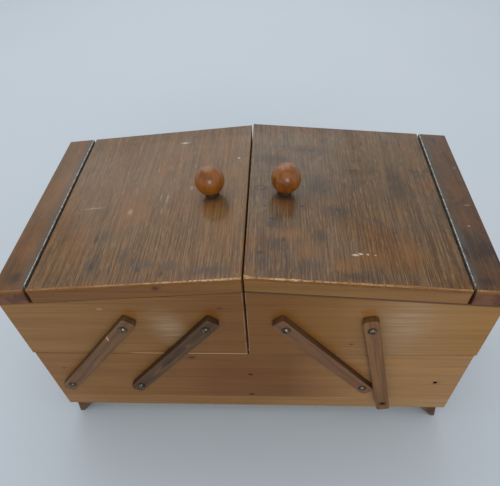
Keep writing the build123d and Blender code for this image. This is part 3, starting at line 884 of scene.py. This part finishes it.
def make_link(name, pivot, along, out, half_length, seed, nick=None):
    """A flat link with two round holes and worn arrises.

    Half a link is a ring of columns about a pivot, each running from the hole's rim to a point of the
    outline and over its arris: inset a (1 - sin t), drop a (1 - cos t). The wall at the link's middle is
    left open, the other half is built towards it, and the two are welded there. The attribute side is 0
    on the broad faces and 1 on the sides, and the other attribute, painted shade round the screw heads,
    is 1 around the screws."""
    along = np.array(along) / np.linalg.norm(along)
    out = np.array(out) / np.linalg.norm(out)
    axes = np.stack([along, np.cross(out, along), out])
    # the hole's rim and the painted shade round the screw head, as (radius, how dark)
    screw_shade_rings = ((link_hole_radius, 1.0), (3.9 * MM, 0.9), (5.1 * MM, 0.0))
    arris_turns = [(math.radians(22.5 * turn), turn / 4) for turn in range(5)]
    points, faces, marks = [], [], []
    count = 0
    for flip, corner_radius in ((False, link_lower_corner), (True, link_upper_corner)):
        ring, inward = link_outline(half_length, corner_radius)
        place = 2 * half_length - ring[:, 0] if flip else ring[:, 0]
        rub = link_rub * (1 + 0.4 * wander(place, 6 * MM, seed) + 0.3 * wander(place, 1.7 * MM, seed + 1))
        if nick is not None:
            rub = rub + nick_size * np.exp(-((place - nick) / nick_size) ** 2) * (ring[:, 1] > 0)
        rub = np.clip(rub, 0.2 * MM, link_rub_limit)[:, None]
        edge = (np.linalg.norm(inward, axis=1) > 0)[:, None]
        spoke = ring / np.linalg.norm(ring, axis=1)[:, None]
        deep = np.full((len(ring), 1), -link_thickness / 2)
        rows = [(spoke * radius, deep, 0.0, soil) for radius, soil in screw_shade_rings]
        rows += [(ring + inward * link_rub_limit, deep, 0.0, 0.0)]
        rows += [
            (ring + inward * rub * (1 - math.sin(t)), deep + rub * edge * (1 - math.cos(t)), shade, 0.0)
            for t, shade in arris_turns]
        rows += [(flat, -z, shade, soil) for flat, z, shade, soil in rows[::-1]]
        grid = np.stack([np.concatenate([flat, z], axis=1) for flat, z, _, _ in rows])
        if flip:
            grid[..., 0] = 2 * half_length - grid[..., 0]
        index = np.arange(grid.shape[0] * grid.shape[1]).reshape(grid.shape[:2])
        right, down = np.roll(index, -1, axis=1), np.roll(index, -1, axis=0)
        quads = np.stack([index, right, np.roll(right, -1, axis=0), down], axis=-1).reshape(-1, 4)
        at_middle = np.abs(grid[..., 0].reshape(-1)[quads] - half_length) < 1e-7
        faces += (quads[~at_middle.all(axis=1)] + count).tolist()
        points.append((np.array(pivot) + grid @ axes).reshape(-1, 3))
        marks.append(np.repeat([row[2:] for row in rows], len(ring), axis=0))
        count += index.size
    side, soiled = np.concatenate(marks).T
    return make_piece(name, np.concatenate(points), faces, side=side, soiled=soiled)


# ---- the pieces ----
def fit(piece, finish, node, body):
    """Give a new piece its finish, and put it in a CAD node's place on a body."""
    piece.data.materials.append(finish)
    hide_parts(node)
    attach(piece, body)


LID_VENEER = {
    "left": top_finish(
        "left_lid_veneer", 1.0, left_lid_marks,
        stops=((-123, (111, 77, 34)), (-70, (115, 83, 41)), (10, (122, 90, 54)), (123, (117, 91, 62))),
        warm=(134, 90, 46), grime=(84, 72, 58), haze=(132, 114, 94), shares=(0.5, 0.4, 0.4, 1.0)),
    "right": top_finish(
        "right_lid_veneer", 21.0, right_lid_marks,
        stops=((-123, (110, 73, 28)), (-70, (111, 78, 37)), (0, (106, 81, 52)), (123, (117, 96, 73))),
        warm=(128, 84, 44), grime=(68, 59, 50), haze=(106, 94, 80), shares=(0.45, 0.6, 0.45, 1.0)),
}
STRIP_VENEER = {
    "left": top_finish(
        "left_strip_veneer", 41.0, strip_marks,
        stops=((-123, (100, 67, 32)), (0, (116, 81, 44)), (123, (112, 85, 53))),
        warm=(136, 90, 50), grime=(84, 70, 58), haze=(124, 108, 88), shares=(0.5, 0.4, 0.3, 0.4)),
    "right": top_finish(
        "right_strip_veneer", 61.0, strip_marks,
        stops=((-123, (36, 22, 15)), (-70, (58, 39, 27)), (0, (93, 67, 44)), (123, (96, 74, 54))),
        warm=(112, 74, 42), grime=(60, 50, 44), haze=(92, 78, 66), shares=(0.6, 0.6, 0.3, 0.35)),
}
knob_varnish = knob_finish()
screw_steel = steel_finish("screw_steel", (128, 116, 96), (60, 52, 42), 0.26, rim=True)
pin_steel = steel_finish("pin_steel", (120, 114, 102), (66, 58, 50), 0.3)
brad_steel = steel_finish("brad_steel", (22, 14, 10), (12, 8, 6), 0.7)
hinge_steel = hinge_finish()

for side, sign in SIDES.items():
    chip = right_lid_chip if side == "right" else 0
    lid = worn_panel(side, "lid", lid_wear, lid_fringe, chip, 100 + sign)
    fit(lid, LID_VENEER[side], f"{side}_lid_panel", f"{side}_lid")
    strip = worn_panel(side, "strip", strip_wear, strip_fringe, 0, 200 + sign)
    fit(strip, STRIP_VENEER[side], f"{side}_strip_panel", f"{side}_tray")
    fit(make_knob(side), knob_varnish, f"{side}_knob", f"{side}_lid")

# pivots of the links, from the joints
lower_inner = {side: JOINTS[f"{side}_tray_swing"] for side in SIDES}
lower_outer = {side: JOINTS[f"{side}_outer_swing"] for side in SIDES}
upper_inner = {side: JOINTS[f"{side}_tray_level"] for side in SIDES}
upper_outer = {side: upper_inner[side] + (lower_outer[side] - lower_inner[side]) for side in SIDES}
head_lift = link_board_gap + link_thickness + screw_clearance
loose_head_lift = -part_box("right_tray_pivot_screws")[0].y - half_depth - screw_head_height

slot_turns = iter(np.random.default_rng(5).uniform(0, math.pi, 20).tolist())
lower_pivots = [lower_inner["left"], lower_outer["left"], lower_inner["right"], lower_outer["right"]]
places = [
    (p.x, p.z, out, head_lift, next(slot_turns)) for out in (-1, 1) for p in lower_pivots
    if (p, out) != (lower_outer["right"], -1)]
screws = set_screws("base_round_head_screws", places, head_lift + base_screw_depth)
fit(screws, screw_steel, "base_pivot_screws", "base")
for side in SIDES:
    lifts = {-1: [head_lift, loose_head_lift if side == "right" else head_lift], 1: [head_lift] * 2}
    places = [
        (p.x, p.z, out, lift, next(slot_turns)) for out in (-1, 1)
        for p, lift in zip((upper_inner[side], upper_outer[side]), lifts[out])]
    screws = set_screws(f"{side}_tray_round_head_screws", places, head_lift + tray_screw_depth)
    fit(screws, screw_steel, f"{side}_tray_pivot_screws", f"{side}_tray")

link_vector = upper_inner["left"] - lower_inner["left"]
half_link = math.hypot(link_vector.x, link_vector.z) / 2
link_angle = math.atan2(link_vector.z, link_vector.x)
LINK_WOOD = {
    place: link_finish(f"{place}_link_wood", *kind) for place, *kind in (
        ("left_outer", link_angle, 3.0, (112, 80, 50), (94, 65, 40), (-132.0, 161.5)),
        ("left_inner", link_angle, 7.0, (88, 62, 36), (68, 46, 26)),
        ("right_outer", -link_angle, 11.0, (104, 74, 48), (84, 58, 36)),
        ("right_inner", -link_angle, 13.0, (120, 82, 52), (94, 64, 40)))}
for side, sign in SIDES.items():
    for face, out in FACES.items():
        for name, pivots in (("inner", lower_inner), ("outer", lower_outer)):
            node = f"{side}_{name}_{face}_link"
            if node == "right_outer_front_link":
                continue
            p = pivots[side]
            link = make_link(
                f"{node}_rounded", (p.x, out * (half_depth + link_board_gap + link_thickness / 2), p.z),
                (-sign * abs(link_vector.x), 0.0, link_vector.z), (0.0, float(out), 0.0), half_link,
                70 + len(node) + out, nick_place * half_link if node == "left_outer_front_link" else None)
            body = "right_outer_link" if (side, name) == ("right", "outer") else f"{side}_{name}_links"
            fit(link, LINK_WOOD[f"{side}_{name}"], node, body)

# the link that has lost its lower screw: it hangs from its upper one and leans on its neighbour
hanger = JOINTS["loose_link_swing"]
loose_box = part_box("right_outer_front_link")
loose_centre = (np.array(loose_box[0]) + np.array(loose_box[1])) / 2 + (0.0, loose_clear, 0.0)
loose_pivot = np.array((hanger.x, -half_depth - loose_lift - link_thickness / 2, hanger.z))
loose_way = loose_centre - loose_pivot
loose_angle = math.atan2(loose_way[2], loose_way[0])
sideways = (math.cos(loose_angle + math.pi / 2), 0, math.sin(loose_angle + math.pi / 2))
inwards = np.cross(loose_way / np.linalg.norm(loose_way), sideways)
inwards = inwards if inwards[1] > 0 else -inwards
loose_wood = link_finish("loose_link_wood", loose_angle, 23.0, (128, 90, 54), (104, 70, 40))
loose_link = make_link("right_outer_front_link_rounded", loose_pivot, loose_way, inwards, half_link, 77)
fit(loose_link, loose_wood, "right_outer_front_link", "right_loose_link")


# ---- finishes of the nodes that stay ----
def dress(finish, *nodes):
    """Give CAD nodes a finish."""
    for node in nodes:
        for slot in frame["nodes"][node].material_slots:
            slot.material = finish


# the tray stops run darker towards the middle and paler towards the ends: partly the boards' tone, partly
# painted sheen of the varnish
TRAY_PINE = {
    "left": board_finish(
        "left_tray_pine", 2.0,
        ((-210, (141, 101, 52)), (-110, (134, 95, 47)), (-20, (118, 77, 29))), left_tray_marks),
    "right": board_finish(
        "right_tray_pine", 12.0,
        ((20, (118, 77, 29)), (80, (133, 91, 40)), (150, (154, 119, 77)), (210, (153, 110, 53))),
        right_tray_marks),
}
LID_RAIL_PINE = {
    "left": board_finish(
        "left_lid_rail_pine", 52.0,
        ((-190, (116, 74, 30)), (-120, (117, 77, 33)), (-10, (122, 82, 36))), left_rail_marks),
    "right": board_finish(
        "right_lid_rail_pine", 57.0, ((10, (130, 92, 42)), (100, (136, 98, 50)), (190, (136, 94, 50)))),
}
# the base and rail stops too: darker middle and paler ends, partly tone and partly painted sheen
base_pine = board_finish(
    "base_pine", 22.0,
    ((-200, (137, 95, 43)), (-110, (131, 91, 41)), (-40, (117, 75, 32)), (40, (115, 75, 30)),
     (130, (160, 119, 72)), (200, (158, 118, 70))), base_marks)
rail_pine = board_finish(
    "base_rail_pine", 32.0,
    ((-200, (146, 106, 60)), (0, (138, 98, 52)), (110, (154, 114, 68)), (190, (164, 126, 82))))
end_pine = board_finish("end_pine", 42.0, ((0, (140, 100, 54)), (220, (144, 104, 58))), along="y")
cross_rail_pine = bare_wood("cross_rail_pine", 62.0, (186, 152, 108), "y")
batten_wood = batten_finish()
runner_wood = bare_wood("runner_wood", 72.0, (84, 60, 42), "y")
bottom_ply = bare_wood("bottom_ply", 82.0, (190, 160, 118), "x")
divider_wood = bare_wood("divider_wood", 92.0, (186, 154, 110), "y")

dress(base_pine, "base_front_board", "base_back_board")
dress(rail_pine, "base_front_rail", "base_back_rail")
dress(bottom_ply, "base_bottom_panel")
dress(divider_wood, "base_partition")
dress(brad_steel, "base_brads")
for side in SIDES:
    dress(end_pine, f"base_{side}_end")
    for finish, names in (
            (TRAY_PINE[side], ("tray_front_board", "tray_back_board")),
            (LID_RAIL_PINE[side], ("lid_front_rail", "lid_back_rail")),
            (end_pine, ("tray_inner_end", "tray_outer_end")),
            (cross_rail_pine, ("lid_inner_rail", "lid_hinge_rail")),
            (batten_wood, ("strip_batten",)), (runner_wood, ("runner",)),
            (bottom_ply, ("tray_bottom",)), (divider_wood, ("tray_divider",)),
            (hinge_steel, ("hinge_fixed_leaf", "hinge_moving_leaf")),
            (pin_steel, ("hinge_pin", "knob_screw"))):
        dress(finish, *[f"{side}_{name}" for name in names])

# ---- floor, light and camera ----
sheet = Finish("pale_floor", roughness=0.8, specular_ior_level=0.2)
sheet.colour = tone(196, 206, 215)
sheet.lay((202, 210, 218), sheet.grain((260, 260, 260), 3.0, detail=3))
floor_reach = 6.0
floor_corners = floor_reach * np.array([(-1, -1, 0), (1, -1, 0), (1, 1, 0), (-1, 1, 0)])
floor = make_piece("floor", floor_corners, [(0, 1, 2, 3)])
floor.data.materials.append(sheet.feed())


def softbox(name, place, target, size, power):
    """A square area lamp that looks from its place to a target."""
    lamp = bpy.data.lights.new(name, "AREA")
    lamp.shape = "SQUARE"
    lamp.size = size
    lamp.energy = power
    holder = stand(name, lamp)
    holder.location = place
    holder.rotation_euler = (Vector(target) - Vector(place)).to_track_quat("-Z", "Y").to_euler()


softbox("window_light", (-0.25, 1.2, 1.7), (0, 0, 0.15), 1.8, 13.0)
softbox("room_light", (0.3, -2.2, 1.1), (0, 0, 0.1), 1.0, 14.0)

world = bpy.data.worlds.new("studio")
bpy.context.scene.world = world
studio = Nodes(world)
rays = studio.add("ShaderNodeLightPath").socket.node.outputs
seen = studio.math("MAXIMUM", *[Field(studio, rays[kind]) for kind in ("Is Camera Ray", "Is Glossy Ray")])
daylight = studio.add("ShaderNodeBackground", {}, {"Color": (0.96, 0.98, 1.0, 1.0), "Strength": 0.64})
backdrop = studio.add("ShaderNodeBackground", {}, {"Color": tone(190, 200, 209), "Strength": 1.0})
studio.end("ShaderNodeOutputWorld", studio.add(
    "ShaderNodeMixShader", {}, {0: seen, 1: daylight, 2: backdrop}).socket)

# the camera, where the photograph's perspective puts it; its axis meets the picture below the middle
focal_pixels = 458.9
picture_width = 500
axis_row = 312.0
middle_row = 243.0
camera_data = bpy.data.cameras.new("camera")
camera_data.sensor_fit = "HORIZONTAL"
camera_data.sensor_width = 36.0
camera_data.lens = focal_pixels / picture_width * camera_data.sensor_width
camera_data.shift_y = (axis_row - middle_row) / picture_width
camera_data.clip_start = 0.01
camera = stand("camera", camera_data)
camera.location = (0.028555, -0.38244, 0.506493)
camera.rotation_euler = [math.radians(angle) for angle in (39.6743, 2.5315, 2.2536)]
bpy.context.scene.camera = camera
bpy.context.scene.view_settings.view_transform = "Standard"
